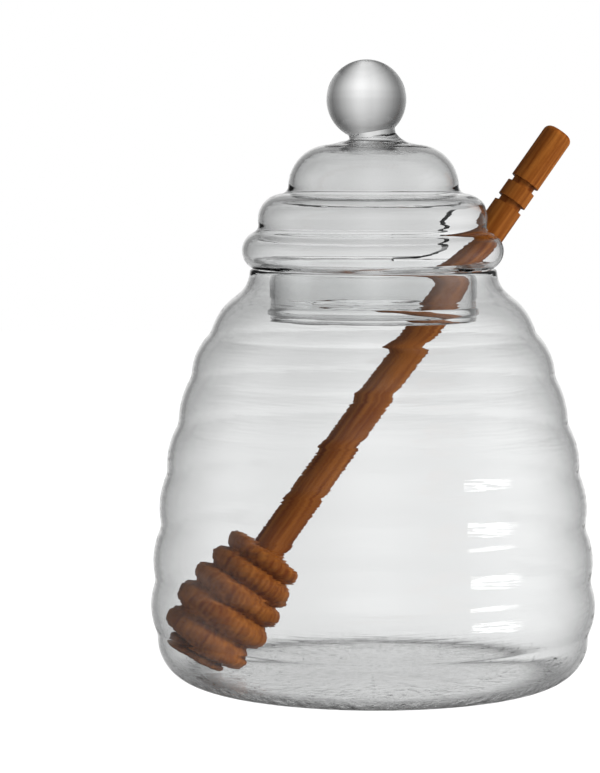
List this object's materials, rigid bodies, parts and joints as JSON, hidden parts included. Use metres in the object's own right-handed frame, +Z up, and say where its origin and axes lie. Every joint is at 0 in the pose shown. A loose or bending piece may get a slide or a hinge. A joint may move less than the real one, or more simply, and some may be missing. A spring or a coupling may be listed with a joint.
{
  "type": "empty glass honey jar with dipper",
  "caption": "Clear glass beehive jar with rings, a notched lid with a ball knob, and a turned wooden honey dipper standing in it.",
  "frame": {"origin": "centre of the jar's flat base, on the surface it stands on", "axes": "+Z up along the jar's axis; +X to the side where the dipper's handle comes out through the lid's notch"},
  "size_m": [0.1042, 0.1042, 0.145],
  "materials": {
    "jar_glass": "clear, smooth",
    "lid_glass": "clear, smooth",
    "turned_wood": "bare, satin"
  },
  "bodies": {
    "root": {"jar": "jar_glass", "lid": "lid_glass", "dipper": "turned_wood"}
  },
  "joints": []
}
